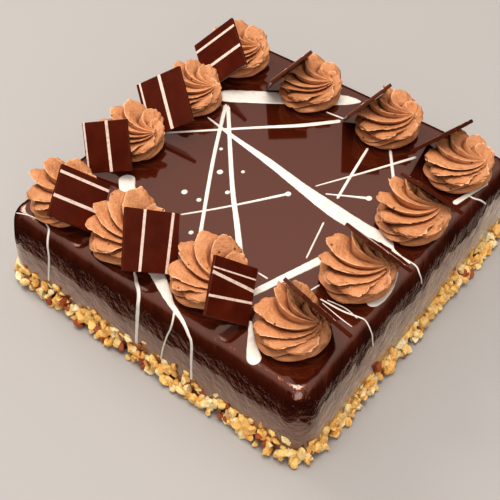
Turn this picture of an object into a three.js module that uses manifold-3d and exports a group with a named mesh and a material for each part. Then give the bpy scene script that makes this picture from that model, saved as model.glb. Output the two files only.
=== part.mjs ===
// Fudge gateau: an uncut square cake under a poured dark chocolate glaze. Twelve piped
// buttercream rosettes stand round its top, a square chocolate plaque leans on each of them,
// white chocolate is drizzled over it and chopped nuts are pressed on round its foot.
//
// Millimetres, +Z up. The origin is the centre of the underside. X runs along the front-left
// side towards the front corner, Y along the front-right side towards the right corner.
import * as THREE from 'three';
import { mergeVertices } from 'three/addons/utils/BufferGeometryUtils.js';
import Module from 'manifold-3d';

const wasm = await Module();
wasm.setup();

// Driving dimensions
const cake = { lengthX: 220, lengthY: 229, height: 57, edgeRadius: 8, cornerRadius: 13 };
const rosette = { radius: 20.5, ridges: 8, segmentsPerRidge: 4 };
const plaque = { thickness: 2.2 };
const drizzle = { relief: 0.9, sunk: 0.6, dripRelief: 1.1 };
const clearance = 0.3;

const halfX = cake.lengthX / 2;
const halfY = cake.lengthY / 2;
const edgeArc = cake.edgeRadius * Math.PI / 2;

const colours = {
  glaze: { color: '#3a1712', roughness: 0.12, metalness: 0 },
  buttercream: { color: '#c58250', roughness: 0.55, metalness: 0 },
  plaque: { color: '#4a1c10', roughness: 0.25, metalness: 0 },
};

// A repeatable random number from 0 to 1 (mulberry32)
function seededRandom(seed) {
  let state = seed;
  return () => {
    state = (state + 0x6d2b79f5) | 0;
    let t = Math.imul(state ^ (state >>> 15), 1 | state);
    t = (t + Math.imul(t ^ (t >>> 7), 61 | t)) ^ t;
    return ((t ^ (t >>> 14)) >>> 0) / 4294967296;
  };
}

// ---- closed meshes to solids and back ----

// Keeps only the positions, so that vertices in the same place become one vertex
function weld(geometry) {
  const bare = geometry.clone();
  bare.deleteAttribute('normal');
  bare.deleteAttribute('uv');
  return mergeVertices(bare, 1e-4);
}

function toSolid(geometry) {
  const welded = weld(geometry);
  const index = welded.index.array;
  const triangles = [];
  for (let i = 0; i < index.length; i += 3) {
    const [a, b, c] = [index[i], index[i + 1], index[i + 2]];
    if (a !== b && b !== c && c !== a) triangles.push(a, b, c);
  }
  return new wasm.Manifold(new wasm.Mesh({
    numProp: 3,
    vertProperties: new Float32Array(welded.attributes.position.array),
    triVerts: new Uint32Array(triangles),
  }));
}

function toGeometry(solid) {
  const mesh = solid.getMesh();
  const geometry = new THREE.BufferGeometry();
  geometry.setAttribute('position', new THREE.BufferAttribute(mesh.vertProperties, 3));
  geometry.setIndex(new THREE.BufferAttribute(mesh.triVerts, 1));
  geometry.computeVertexNormals();
  return geometry;
}

// Turns the faces of a bent mesh over when the bending has left them pointing inwards
function facingOut(geometry) {
  if (toSolid(geometry).volume() > 0) return geometry;
  const turned = weld(geometry);
  const index = turned.index.array;
  for (let i = 0; i < index.length; i += 3) {
    [index[i], index[i + 1]] = [index[i + 1], index[i]];
  }
  return turned;
}

// A cut can leave crumbs: only the largest piece is kept
function largestPiece(solid) {
  const pieces = solid.decompose();
  return pieces.reduce((best, piece) => (piece.volume() > best.volume() ? piece : best));
}

// ---- the glazed cake ----

function roundedSquare(lengthX, lengthY, radius) {
  const x = lengthX / 2 - radius;
  const y = lengthY / 2 - radius;
  const shape = new THREE.Shape();
  shape.absarc(x, -y, radius, -Math.PI / 2, 0, false);
  shape.absarc(x, y, radius, 0, Math.PI / 2, false);
  shape.absarc(-x, y, radius, Math.PI / 2, Math.PI, false);
  shape.absarc(-x, -y, radius, Math.PI, 1.5 * Math.PI, false);
  shape.closePath();
  return shape;
}

// The bevel rounds both ends, and the cut at the table removes the lower one
function makeCake() {
  const outline = roundedSquare(cake.lengthX, cake.lengthY, cake.cornerRadius);
  const block = new THREE.ExtrudeGeometry(outline, {
    depth: cake.height - cake.edgeRadius,
    curveSegments: 5,
    bevelThickness: cake.edgeRadius,
    bevelSize: cake.edgeRadius,
    bevelOffset: -cake.edgeRadius,
    bevelSegments: 4,
  });
  const aboveTable = new THREE.BoxGeometry(2 * cake.lengthX, 2 * cake.lengthY, cake.height);
  aboveTable.translate(0, 0, cake.height / 2);
  return toSolid(block).intersect(toSolid(aboveTable));
}

// ---- chopped nuts round the foot ----

// Rows of nibs, the largest at the foot: number, height of the middle, how far out of the wall
// it is, the size of a nib, and whether it is a rough lump or a sharp chip
const nutRows = [
  { count: 64, z: 4.4, out: 2.5, size: 4.9, shape: THREE.IcosahedronGeometry },
  { count: 62, z: 9.6, out: 1.7, size: 5.4, shape: THREE.OctahedronGeometry },
  { count: 36, z: 14.4, out: 0.7, size: 4.6, shape: THREE.OctahedronGeometry },
];
const nutMaxOut = 7.5;
const nutRim = roundedSquare(cake.lengthX, cake.lengthY, cake.cornerRadius);

// A place on the rim of the cake, with the way out of the wall there and how high the nuts
// were pressed, which is less on the front-right side
function rimPlace(along) {
  const at = nutRim.getPoint(along % 1);
  const tangent = nutRim.getTangent(along % 1);
  const outward = new THREE.Vector2(tangent.y, -tangent.x);
  return { at, outward, rise: 1 - 0.35 * Math.max(0, outward.x) };
}

// An angular nib: a regular solid with its corners knocked in and out
function makeNib(random, Shape, size) {
  const chip = weld(new Shape(size, 0));
  const corner = new THREE.Vector3();
  const spots = chip.attributes.position;
  for (let i = 0; i < spots.count; i += 1) {
    corner.fromBufferAttribute(spots, i).multiplyScalar(0.78 + 0.42 * random());
    spots.setXYZ(i, corner.x, corner.y, corner.z);
  }
  chip.scale(1.15 + 0.3 * random(), 0.8 + 0.25 * random(), 0.75 + 0.25 * random());
  const turn = new THREE.Euler(3 * random(), 3 * random(), 3 * random());
  return chip.applyMatrix4(new THREE.Matrix4().makeRotationFromEuler(turn));
}

// Moves a nib up off the table and in under the outer limit of the band
function seatNib(nib, { at, outward }) {
  nib.computeBoundingBox();
  const lift = Math.max(0, 0.3 - nib.boundingBox.min.z);
  const spots = nib.attributes.position;
  let furthest = 0;
  for (let i = 0; i < spots.count; i += 1) {
    const dx = spots.getX(i) - at.x;
    const dy = spots.getY(i) - at.y;
    furthest = Math.max(furthest, dx * outward.x + dy * outward.y);
  }
  const back = Math.max(0, furthest - nutMaxOut);
  nib.translate(-outward.x * back, -outward.y * back, lift);
}

function addNuts(body) {
  const random = seededRandom(41);
  let result = body;
  nutRows.forEach((row, rowNumber) => {
    for (let i = 0; i < row.count; i += 1) {
      const place = rimPlace((i + 0.4 * rowNumber + 0.4 * random()) / row.count);
      const nib = makeNib(random, row.shape, row.size * (0.88 + 0.24 * random()));
      const out = row.out + 0.8 * (random() - 0.5);
      const z = row.z * place.rise + 1.8 * (random() - 0.5);
      nib.translate(place.at.x + place.outward.x * out, place.at.y + place.outward.y * out, z);
      seatNib(nib, place);
      result = result.add(toSolid(nib));
    }
  });
  return result;
}

// ---- white chocolate drizzle ----

// Strokes on the top: [x, y, width] along each
const topStrokes = [
  [[-77, 47, 12.9], [-43, 71, 12.8], [-10, 94, 10.8], [2, 101, 2]],
  [[-69, 26, 1], [-42, 21, 3.2], [-10, 16, 5.6], [21, 10, 7.9], [49, 6, 10.7], [79, 5.5, 7], [90, 1.5, 2.8]],
  [[-67, 44, 2.7], [-40, -4, 2.5], [-5, -58, 2.3]],
  [[-66, 44, 2.7], [-18, -12, 3], [26, -59, 3.9]],
  [[-80, -3, 1.6], [-40, 34, 2.3], [2, 76, 3.3]],
  [[-25, -52, 1.2], [15, 1, 2.2]],
  [[59, 77, 2.2], [24, 16, 1]],
  [[41, 73, 1.9], [60, 48, 2.2]],
  [[30, 65, 1.9], [40, 16, 1.8]],
  [[32, 15, 1], [55, 28, 2.4]],
  [[45, -5, 1.2], [54, -35, 1.1]],
  [[44, -74, 4.4], [54, -50, 5], [62, -27, 5.7]],
  [[-73, -47, 11.2], [-36, -76, 8.8], [-13, -91, 8]],
  [[97, 55, 3.7], [101, 72, 3.2]],
  [[98, -26, 8], [100, -31, 8]],
];

// Runs over the edge: side, then [along, down, width], where down is measured over the glaze
// from the line where the edge starts to round
const drips = [
  { side: 'front', path: [[-13, -16, 8], [6, -5, 7.6], [26, 5, 6.4], [36, 14, 3.4], [37, 31, 2.4], [36.7, 46, 2.2]] },
  { side: 'front', path: [[20, 3, 2], [21.4, 10, 1.7], [18.9, 21, 1.7], [16.4, 32, 1.7], [13.8, 44, 1.6]] },
  { side: 'front', path: [[-16, -5, 1.8], [-4, 8, 2.6], [-3, 25, 2.2], [-4.5, 46, 2]] },
  { side: 'front', path: [[-83, -1, 1.5], [-76, 4, 2], [-72.6, 18, 1.8], [-75, 40, 1.6]] },
  { side: 'front', path: [[56, -17, 3.6], [66, -6, 6.6], [73, 1, 7.4], [75, 4, 5]] },
  { side: 'right', path: [[1, -16, 2.8], [-0.4, -1, 1.8], [-0.3, 6, 1.5], [-1, 16, 1.3]] },
  { side: 'right', path: [[-53, -20, 2], [-51, -2, 2.2], [-51.6, 10, 1.4], [-51.4, 21, 1.1]] },
];

// A flat ribbon outline round a list of [x, y, width], with pointed ends
function ribbonShape(path) {
  const middle = path.map(([x, y]) => new THREE.Vector2(x, y));
  const left = [];
  const right = [];
  path.forEach(([, , width], i) => {
    const before = middle[Math.max(i - 1, 0)];
    const after = middle[Math.min(i + 1, middle.length - 1)];
    const across = after.clone().sub(before).normalize().rotateAround(new THREE.Vector2(), Math.PI / 2);
    left.push(middle[i].clone().addScaledVector(across, width / 2));
    right.push(middle[i].clone().addScaledVector(across, -width / 2));
  });
  const tip = (end, from, width) => {
    const ahead = end.clone().sub(from).normalize();
    return end.clone().addScaledVector(ahead, width / 2);
  };
  const last = middle.length - 1;
  const start = tip(middle[0], middle[1], path[0][2]);
  const finish = tip(middle[last], middle[last - 1], path[last][2]);
  return new THREE.Shape([start, ...right, finish, ...left.reverse()]);
}

function makeTopStroke(path) {
  const depth = drizzle.relief + drizzle.sunk;
  const ribbon = new THREE.ExtrudeGeometry(ribbonShape(path), { depth, bevelEnabled: false });
  ribbon.translate(0, 0, cake.height - drizzle.sunk);
  return toSolid(ribbon);
}

// Where a point of the unrolled glaze lies: out from the flat top and up from the table
function overTheEdge(down, lift) {
  const radius = cake.edgeRadius;
  if (down < 0) return { out: down - radius, z: cake.height + lift };
  if (down > edgeArc) return { out: lift, z: cake.height - radius - (down - edgeArc) };
  const turn = down / radius;
  return {
    out: (radius + lift) * Math.sin(turn) - radius,
    z: cake.height - radius + (radius + lift) * Math.cos(turn),
  };
}

// A ribbon cut in short lengths, so that it can bend over the edge
function makeDrip({ side, path }) {
  const curve = new THREE.CatmullRomCurve3(path.map(([along, down, width]) => new THREE.Vector3(along, down, width)));
  const stations = curve.getPoints(2 * path.length).map((p) => [p.x, p.y, p.z]);
  const depth = drizzle.dripRelief + drizzle.sunk;
  const ribbon = new THREE.ExtrudeGeometry(ribbonShape(stations), { depth, bevelEnabled: false });
  const spots = ribbon.attributes.position;
  for (let i = 0; i < spots.count; i += 1) {
    const along = spots.getX(i);
    const { out, z } = overTheEdge(spots.getY(i), spots.getZ(i) - drizzle.sunk);
    if (side === 'front') spots.setXYZ(i, along, -(halfY + out), z);
    else spots.setXYZ(i, halfX + out, along, z);
  }
  return toSolid(facingOut(ribbon));
}

// ---- piped rosettes ----

// Where each stands on the top, [x, y, size], anticlockwise from the back corner
const rosettePlaces = [
  [-88, 83, 1.03],
  [-86, 31, 0.97],
  [-87.5, -24, 0.98],
  [-83, -88, 1.04],
  [-32, -88, 1.08],
  [23, -84, 1.04],
  [79, -83, 1.0],
  [84.5, -30, 1.04],
  [86, 25, 1.03],
  [86, 78, 1.0],
  [31, 85.5, 1.02],
  [-28, 83.5, 0.98],
];

// Rings from the base to the rim of the hollow on top: radius, height, how far the ridges have
// turned, and how deep the grooves are, as a part of the radius
const rosetteRings = [
  { r: 17.5, z: 0, turn: 0, groove: 0.05 },
  { r: 20.3, z: 4, turn: 22, groove: 0.09 },
  { r: 20.4, z: 10, turn: 52, groove: 0.12 },
  { r: 17.6, z: 17, turn: 84, groove: 0.15 },
  { r: 13.2, z: 22.5, turn: 112, groove: 0.2 },
  { r: 7.0, z: 22, turn: 150, groove: 0.28 },
];
const rosetteTop = 18.5;
const ridgeWave = [1, 0.1, -1, -0.45];
const crestSide = 173;
const tailSide = 20;

function makeRosette(size, number) {
  const random = seededRandom(700 + number);
  const profile = [
    new THREE.Vector2(0, 0),
    ...rosetteRings.map(({ r, z }) => new THREE.Vector2(r, z)),
    new THREE.Vector2(0, rosetteTop),
  ];
  const segments = rosette.ridges * rosette.segmentsPerRidge;
  const lathe = new THREE.LatheGeometry(profile, segments);
  const phase = THREE.MathUtils.degToRad(20 * (random() - 0.5));
  const towards = (degrees, angle) => Math.cos(angle - THREE.MathUtils.degToRad(degrees));
  const rows = profile.length;
  const spots = lathe.attributes.position;
  for (let i = 0; i < spots.count; i += 1) {
    const segment = Math.floor(i / rows) % segments;
    const row = i % rows;
    const ring = rosetteRings[row - 1];
    if (!ring) {
      spots.setXYZ(i, 0, 0, row === 0 ? 0 : rosetteTop * size);
      continue;
    }
    const wave = ridgeWave[segment % rosette.segmentsPerRidge];
    const angle = (2 * Math.PI * segment) / segments + THREE.MathUtils.degToRad(ring.turn) + phase;
    const high = ring.z / rosetteTop;
    const crest = ring.z > 0 ? high * (1.6 * towards(crestSide, angle) + 1.3 * Math.max(0, wave)) : 0;
    const tail = ring.z > 15 ? 1.6 * Math.max(0, towards(tailSide, angle)) : 0;
    const r = (ring.r * (1 + ring.groove * wave) + tail) * size;
    spots.setXYZ(i, r * Math.cos(angle), r * Math.sin(angle), (ring.z + crest) * size);
  }
  return toSolid(facingOut(lathe));
}

// ---- chocolate plaques ----

// Middle of each, the way its face points (azimuth and elevation), its roll in its own plane,
// and its width and height, in the order of the rosettes that they lean on. Each stands on its
// lowest corner, and one is stuck a little higher up its rosette.
const plaquePlaces = [
  { at: [-88.5, 63], azimuth: -108, elevation: 41, roll: 63.5, width: 35, height: 36.3 },
  { at: [-84, 2.5], azimuth: -90, elevation: 43, roll: 44.5, width: 33, height: 36.5 },
  { at: [-85.5, -48.5], azimuth: -76, elevation: 35.5, roll: 20, width: 30, height: 31 },
  { at: [-65.5, -91], azimuth: 1, elevation: 41.5, roll: -56, width: 32.3, height: 31.6 },
  { at: [-11.3, -90.5], azimuth: -4.5, elevation: 43.5, roll: -38.7, width: 33.5, height: 34.6 },
  { at: [45.5, -91], azimuth: 3, elevation: 35, roll: -52, width: 30.5, height: 31.7 },
  { at: [88.6, -74.9], azimuth: 78.6, elevation: 31.4, roll: -42.6, width: 34.8, height: 34.8, lift: 2.5 },
  { at: [88.7, -16.8], azimuth: 80.5, elevation: 38.3, roll: 52.1, width: 32.8, height: 32.8 },
  { at: [89.7, 38.2], azimuth: 82, elevation: 39.6, roll: 48.1, width: 31.6, height: 31.6 },
  { at: [68.5, 84.5], azimuth: 163, elevation: 38, roll: 32, width: 32, height: 32 },
  { at: [15.7, 81.1], azimuth: 174.3, elevation: 34.4, roll: 58, width: 32.9, height: 32.9 },
  { at: [-43.2, 78], azimuth: 176, elevation: 36, roll: 62, width: 33, height: 33 },
];

// Leans a slab that lies face up at the origin, and turns it in its own plane
function leanMatrix({ azimuth, elevation, roll }) {
  const [turn, rise, spin] = [azimuth, elevation, roll].map(THREE.MathUtils.degToRad);
  const level = new THREE.Vector3(-Math.sin(turn), Math.cos(turn), 0);
  const face = new THREE.Vector3(Math.cos(turn), Math.sin(turn), 0).multiplyScalar(Math.cos(rise));
  face.z = Math.sin(rise);
  const up = face.clone().cross(level);
  const lean = new THREE.Matrix4().makeBasis(level, up, face);
  return lean.multiply(new THREE.Matrix4().makeRotationZ(spin));
}

// The visible face lies on the plane of the place, and the thickness goes in behind it
function plaqueGeometry(place, grown) {
  const depth = plaque.thickness + 2 * grown;
  const slab = new THREE.BoxGeometry(place.width + 2 * grown, place.height + 2 * grown, depth);
  slab.translate(0, 0, -plaque.thickness / 2);
  slab.applyMatrix4(leanMatrix(place));
  const plain = new THREE.BoxGeometry(place.width, place.height, plaque.thickness);
  plain.translate(0, 0, -plaque.thickness / 2);
  plain.applyMatrix4(leanMatrix(place));
  plain.computeBoundingBox();
  const rest = cake.height + clearance + (place.lift ?? 0);
  return slab.translate(place.at[0], place.at[1], rest - plain.boundingBox.min.z);
}

// ---- putting it together ----

function makeMesh(name, solid, look) {
  const mesh = new THREE.Mesh(toGeometry(solid), new THREE.MeshStandardMaterial(look));
  mesh.name = name;
  return mesh;
}

const twoDigits = (number) => String(number).padStart(2, '0');
const gateau = new THREE.Group();

// The drizzle is cut short where a rosette or a plaque stands on it
function keepClear(strokes) {
  let clear = strokes;
  rosettePlaces.forEach(([x, y, size]) => {
    const radius = rosette.radius * 1.08 * size;
    const foot = new THREE.CylinderGeometry(radius, radius, 12, 16);
    foot.rotateX(Math.PI / 2);
    foot.translate(x, y, cake.height);
    clear = clear.subtract(toSolid(foot));
  });
  plaquePlaces.forEach((place) => {
    clear = clear.subtract(toSolid(plaqueGeometry(place, 2 * clearance)));
  });
  return clear;
}

const strokes = topStrokes.map(makeTopStroke).reduce((sum, stroke) => sum.add(stroke));
const allDrizzle = drips.map(makeDrip).reduce((sum, drip) => sum.add(drip), strokes);
const body = addNuts(makeCake()).add(keepClear(allDrizzle));
gateau.add(makeMesh('gateau', largestPiece(body), colours.glaze));

rosettePlaces.forEach(([x, y, size], i) => {
  let swirl = makeRosette(size, i).translate([x, y, cake.height + clearance]);
  plaquePlaces.forEach((place) => {
    swirl = swirl.subtract(toSolid(plaqueGeometry(place, clearance)));
  });
  gateau.add(makeMesh(`rosette_${twoDigits(i + 1)}`, largestPiece(swirl), colours.buttercream));
});

plaquePlaces.forEach((place, i) => {
  const slab = toSolid(plaqueGeometry(place, 0));
  gateau.add(makeMesh(`plaque_${twoDigits(i + 1)}`, slab, colours.plaque));
});

export default gateau;
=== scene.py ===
import math
import random

import bmesh
import bpy
from mathutils import Euler, Matrix, Vector, noise


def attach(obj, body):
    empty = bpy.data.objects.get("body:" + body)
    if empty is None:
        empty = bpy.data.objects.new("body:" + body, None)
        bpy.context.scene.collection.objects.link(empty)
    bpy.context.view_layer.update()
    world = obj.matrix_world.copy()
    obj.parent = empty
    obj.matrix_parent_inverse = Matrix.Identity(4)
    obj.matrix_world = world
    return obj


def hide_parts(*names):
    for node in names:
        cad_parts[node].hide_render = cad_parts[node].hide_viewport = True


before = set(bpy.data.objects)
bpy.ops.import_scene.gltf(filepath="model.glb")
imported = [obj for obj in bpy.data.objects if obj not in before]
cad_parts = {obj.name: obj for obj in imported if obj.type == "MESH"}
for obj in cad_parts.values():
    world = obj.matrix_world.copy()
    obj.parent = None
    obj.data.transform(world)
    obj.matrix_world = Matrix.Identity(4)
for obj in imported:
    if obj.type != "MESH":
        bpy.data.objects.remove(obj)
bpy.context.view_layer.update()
scene = bpy.context.scene
scene.view_settings.view_transform = "Standard"
scene.view_settings.look = "Medium High Contrast"
mm = 0.001

# the cake's own sizes in mm, the same as in the CAD source
cake = {
    "lengthX": 220.0,
    "lengthY": 229.0,
    "height": 57.0,
    "edgeRadius": 8.0,
    "cornerRadius": 13.0,
}
halfX = cake["lengthX"] / 2
halfY = cake["lengthY"] / 2
edgeArc = cake["edgeRadius"] * math.pi / 2
rimLength = (2 * (cake["lengthX"] + cake["lengthY"]) - 8 * cake["cornerRadius"]
             + 2 * math.pi * cake["cornerRadius"])


def linear(code):
    # an sRGB hex colour as the linear values that shaders use
    parts = [int(code[i:i + 2], 16) / 255 for i in (1, 3, 5)]
    return [p / 12.92 if p <= 0.04045 else ((p + 0.055) / 1.055) ** 2.4 for p in parts] + [1.0]


def newMaterial(name):
    material = bpy.data.materials.new(name)
    material.use_nodes = True
    return material, material.node_tree, material.node_tree.nodes["Principled BSDF"]


def addNode(tree, kind, settings=None, links=None):
    # settings are the node's attributes, a ramp's stops or, by name or number, values of its inputs,
    # and links are the sockets that feed its inputs
    node = tree.nodes.new(kind)
    for key, value in (settings or {}).items():
        if key == "stops":
            band = node.color_ramp.elements
            while len(band) < len(value):
                band.new(0.5)
            for stop, (place, code) in zip(band, value):
                stop.position = place
                stop.color = linear(code)
        elif isinstance(key, str) and hasattr(node, key):
            setattr(node, key, value)
        else:
            node.inputs[key].default_value = value
    for key, socket in (links or {}).items():
        tree.links.new(socket, node.inputs[key])
    return node


def setShader(shader, values):
    for key, value in values.items():
        shader.inputs[key].default_value = value


def makeObject(bm, name, materials):
    mesh = bpy.data.meshes.new(name)
    bm.to_mesh(mesh)
    bm.free()
    for material in materials:
        mesh.materials.append(material)
    made = bpy.data.objects.new(name, mesh)
    scene.collection.objects.link(made)
    return made


def finishPiece(bm, name, materials, node, smooth=True):
    # everything is modelled in mm, and each piece stands for one node of the CAD
    bmesh.ops.scale(bm, vec=(mm, mm, mm), verts=bm.verts)
    piece = makeObject(bm, name, materials)
    for face in piece.data.polygons:
        face.use_smooth = smooth
    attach(piece, "root")
    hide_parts(node)


def sliceMesh(bm, place, normal, clearOuter=False):
    # cuts a mesh along a plane and gives the edges of the cut
    cut = bmesh.ops.bisect_plane(bm, geom=bm.verts[:] + bm.edges[:] + bm.faces[:], dist=1e-5,
                                 plane_co=place, plane_no=normal, clear_outer=clearOuter)
    return [g for g in cut["geom_cut"] if isinstance(g, bmesh.types.BMEdge)]


def smoothPath(points, steps):
    # a Catmull-Rom curve through rows of numbers, with the same count of steps between neighbours
    result = []
    last = len(points) - 1
    for i in range(last):
        a, b, c, d = points[max(i - 1, 0)], points[i], points[i + 1], points[min(i + 2, last)]
        for step in range(steps):
            q = step / steps
            row = []
            for k in range(len(b)):
                bend = (2 * b[k] + (c[k] - a[k]) * q + (2 * a[k] - 5 * b[k] + 4 * c[k] - d[k]) * q * q
                        + (3 * b[k] - a[k] - 3 * c[k] + d[k]) * q ** 3)
                row.append(bend / 2)
            result.append(row)
    result.append(list(points[-1]))
    return result


def extrudeRing(bm, edges):
    # extrudes a closed ring of edges once and gives the new ring's vertices and edges
    made = bmesh.ops.extrude_edge_only(bm, edges=edges)["geom"]
    verts = [g for g in made if isinstance(g, bmesh.types.BMVert)]
    fresh = set(verts)
    return verts, [g for g in made if isinstance(g, bmesh.types.BMEdge) and set(g.verts) <= fresh]


def sweepRing(bm, ring, frames):
    # extrudes a closed ring through a row of frames and closes both ends
    first = edges = list({e for v in ring for e in v.link_edges})
    bmesh.ops.transform(bm, matrix=frames[0], verts=ring)
    for before, after in zip(frames, frames[1:]):
        verts, edges = extrudeRing(bm, edges)
        bmesh.ops.transform(bm, matrix=after @ before.inverted(), verts=verts)
    bmesh.ops.contextual_create(bm, geom=first)
    bmesh.ops.contextual_create(bm, geom=edges)


def frameOf(across, up, along, place):
    # a matrix from its three axes and its place
    return Matrix([
        (across.x, up.x, along.x, place.x),
        (across.y, up.y, along.y, place.y),
        (across.z, up.z, along.z, place.z),
        (0, 0, 0, 1),
    ])


# the camera's place in mm, turns in degrees, and lens and sensor in mm, fitted to the cake's edges
# in the photograph
view = {
    "place": (243.4, -334.1, 457.7),
    "turn": 37.505,
    "down": 48.102,
    "roll": 0.448,
    "lens": 68.06,
    "sensor": 36.0,
    "nearest": 0.01,     # metres, where its sight begins
}


def makeCamera():
    data = bpy.data.cameras.new("photoView")
    data.lens = view["lens"]
    data.sensor_width = view["sensor"]
    data.clip_start = view["nearest"]
    camera = bpy.data.objects.new("photoView", data)
    scene.collection.objects.link(camera)
    turn = Matrix.Rotation(math.radians(view["turn"]), 4, "Z")
    down = Matrix.Rotation(math.radians(90 - view["down"]), 4, "X")
    roll = Matrix.Rotation(math.radians(view["roll"]), 4, "Z")
    camera.matrix_world = Matrix.Translation(Vector(view["place"]) * mm) @ turn @ down @ roll
    scene.camera = camera


studio = {
    "floor": "#a9a5a2",
    "floorSize": (8.0, 8.0),  # metres from the middle to its edges
    "floorHeight": -0.4,      # mm
    "card": "#c9beb2",
    "cardSize": (0.14, 0.147),
    "cardHeight": -0.2,
    "roughness": 0.8,
    "backdrop": "#bdb8b3",
    "skyStrength": 0.85,
    # brightness of the room by the sine of its height above the horizon
    "sky": [(0.0, "#211e1d"), (0.3, "#2c2928"), (0.55, "#a8a3a0"), (0.75, "#f4f0ed"), (1.0, "#f4f0ed")],
    "aim": (0, 0, 0.04),      # metres, what every light points at
    # name: place in metres, size, watts, colour
    "lights": {
        "softBox": ((0.0, -0.15, 2.3), 1.2, 31.0, "#fffaf5"),
        "sideWindow": ((-1.8, 0.23, 1.43), 1.1, 19.0, "#fffaf5"),
        "frontFill": ((0.9, -1.2, 0.9), 1.0, 6.0, "#fffdfb"),
    },
}


def makeFloorPiece(name, size, height, colour):
    # matt paper: an even tone with no shine
    material, tree, shader = newMaterial(name)
    setShader(shader, {"Base Color": linear(colour), "Roughness": studio["roughness"]})
    bm = bmesh.new()
    bmesh.ops.create_grid(bm, x_segments=1, y_segments=1, size=1)
    bmesh.ops.scale(bm, vec=(size[0], size[1], 1), verts=bm.verts)
    floor = makeObject(bm, name, [material])
    floor.location.z = height * mm
    return floor


def makeStudio():
    world = bpy.data.worlds.new("softRoom")
    scene.world = world
    world.use_nodes = True
    tree = world.node_tree
    background = tree.nodes["Background"]
    background.inputs["Strength"].default_value = studio["skyStrength"]
    # the room is dark low down, as a studio with black flags round the set, and bright overhead
    direction = addNode(tree, "ShaderNodeTexCoord").outputs["Generated"]
    height = addNode(tree, "ShaderNodeSeparateXYZ", links={"Vector": direction}).outputs["Z"]
    sky = addNode(tree, "ShaderNodeValToRGB", {"stops": studio["sky"]}, {"Fac": height})
    tree.links.new(sky.outputs["Color"], background.inputs["Color"])
    # what the camera sees past the floor is a plain backdrop
    backdrop = addNode(tree, "ShaderNodeBackground", {"Color": linear(studio["backdrop"])})
    seen = addNode(tree, "ShaderNodeLightPath").outputs["Is Camera Ray"]
    both = addNode(tree, "ShaderNodeMixShader", links={
        0: seen, 1: background.outputs["Background"], 2: backdrop.outputs["Background"]})
    tree.links.new(both.outputs["Shader"], tree.nodes["World Output"].inputs["Surface"])

    floor = makeFloorPiece("paleFloor", studio["floorSize"], studio["floorHeight"], studio["floor"])
    floor.visible_glossy = False
    # a bounce card lights the gloss from below in the wide floor's stead, and nothing else sees it
    card = makeFloorPiece("bounceCard", studio["cardSize"], studio["cardHeight"], studio["card"])
    card.visible_camera = False
    card.visible_diffuse = False
    card.visible_shadow = False

    for name, (place, size, power, colour) in studio["lights"].items():
        data = bpy.data.lights.new(name, "AREA")
        data.shape = "DISK"
        data.size = size
        data.energy = power
        data.color = linear(colour)[:3]
        light = bpy.data.objects.new(name, data)
        scene.collection.objects.link(light)
        light.location = place
        way = Vector(studio["aim"]) - Vector(place)
        light.rotation_euler = way.to_track_quat("-Z", "Y").to_euler()


makeCamera()
makeStudio()
print("camera, floor and lights are set")


glaze = {
    "colour": "#451a0c",
    "streak": "#2f110a",
    "sheen": "#ffa076",  # tint of what the cocoa in the syrup mirrors
    "roughness": 0.1,
    "skin": 0.05,        # roughness of the clear skin that the syrup sets to
    "runDepth": 1.7,     # mm, full depth of the brushed runs, of which the noise uses a third
    "flare": 3.0,        # mm that the poured walls lean out on their way down
    "flareFoot": 18.0,   # mm above the floor, where they stop leaning out
    "roundSteps": 10,    # faces across each rounded edge
    "gridStep": 2.5,     # mm between the cuts that let the walls wander
    "wallWave": 0.55,    # mm, how far the walls wander in and out
    "waves": (0.05, 0.03),   # how many to the mm, level and upwards
    # finer runs: size against the waves, how many to the mm, lean, how many upwards, start
    "runs": [(0.45, 0.12, 0.1, 0.05, 7), (0.2, 0.3, 0.22, 0.11, 3)],
    "runsInFront": 0.35,     # how much of them the front and back walls show
    "toneInFront": 0.7,      # and of the brushed pattern
}


def makeGlazeMaterial():
    # poured chocolate glaze: cocoa in set syrup, dark and glossy, with brushed runs down the walls
    material, tree, shader = newMaterial("pouredChocolateGlaze")
    place = addNode(tree, "ShaderNodeTexCoord").outputs["Object"]
    wall = addNode(tree, "ShaderNodeAttribute", {"attribute_name": "wall"}).outputs["Fac"]
    # brushed runs are about 6 mm apart and four times as long, so 160 to the metre, and lean back
    runs = addNode(tree, "ShaderNodeMapping", {
        "vector_type": "TEXTURE", "Rotation": (-0.8, -0.9, 0.0), "Scale": (1.0, 1.0, 4.0),
    }, {"Vector": place}).outputs["Vector"]
    flow = addNode(tree, "ShaderNodeTexNoise", {"Scale": 160.0, "Detail": 4.0, "Roughness": 0.62},
                   {"Vector": runs}).outputs["Fac"]
    tone = addNode(tree, "ShaderNodeValToRGB", {
        "stops": [(0.35, glaze["streak"]), (0.65, glaze["colour"])],
    }, {"Fac": flow})
    mixed = addNode(tree, "ShaderNodeMix", {"data_type": "RGBA", 6: linear(glaze["colour"])},
                    {0: wall, 7: tone.outputs["Color"]})
    tree.links.new(mixed.outputs[2], shader.inputs["Base Color"])
    # the runs stand about half a millimetre proud, on the walls alone
    depth = addNode(tree, "ShaderNodeMath", {"operation": "MULTIPLY"}, {0: flow, 1: wall}).outputs["Value"]
    bump = addNode(tree, "ShaderNodeBump", {"Strength": 1.0, "Distance": glaze["runDepth"] * mm},
                   {"Height": depth})
    tree.links.new(bump.outputs["Normal"], shader.inputs["Normal"])
    setShader(shader, {
        "Roughness": glaze["roughness"], "IOR": 1.5, "Specular IOR Level": 1.0,
        "Specular Tint": linear(glaze["sheen"]),
        "Coat Weight": 1.0, "Coat Roughness": glaze["skin"], "Coat IOR": 1.6})
    return material


def flareAt(height):
    # how far a wall leans out at a height: a parabola that is level at the foot and nought where
    # the top edge starts to round
    rise = max(height - glaze["flareFoot"], 0) / (cake["height"] - cake["edgeRadius"] - glaze["flareFoot"])
    return glaze["flare"] * (1 - rise * rise)


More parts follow.
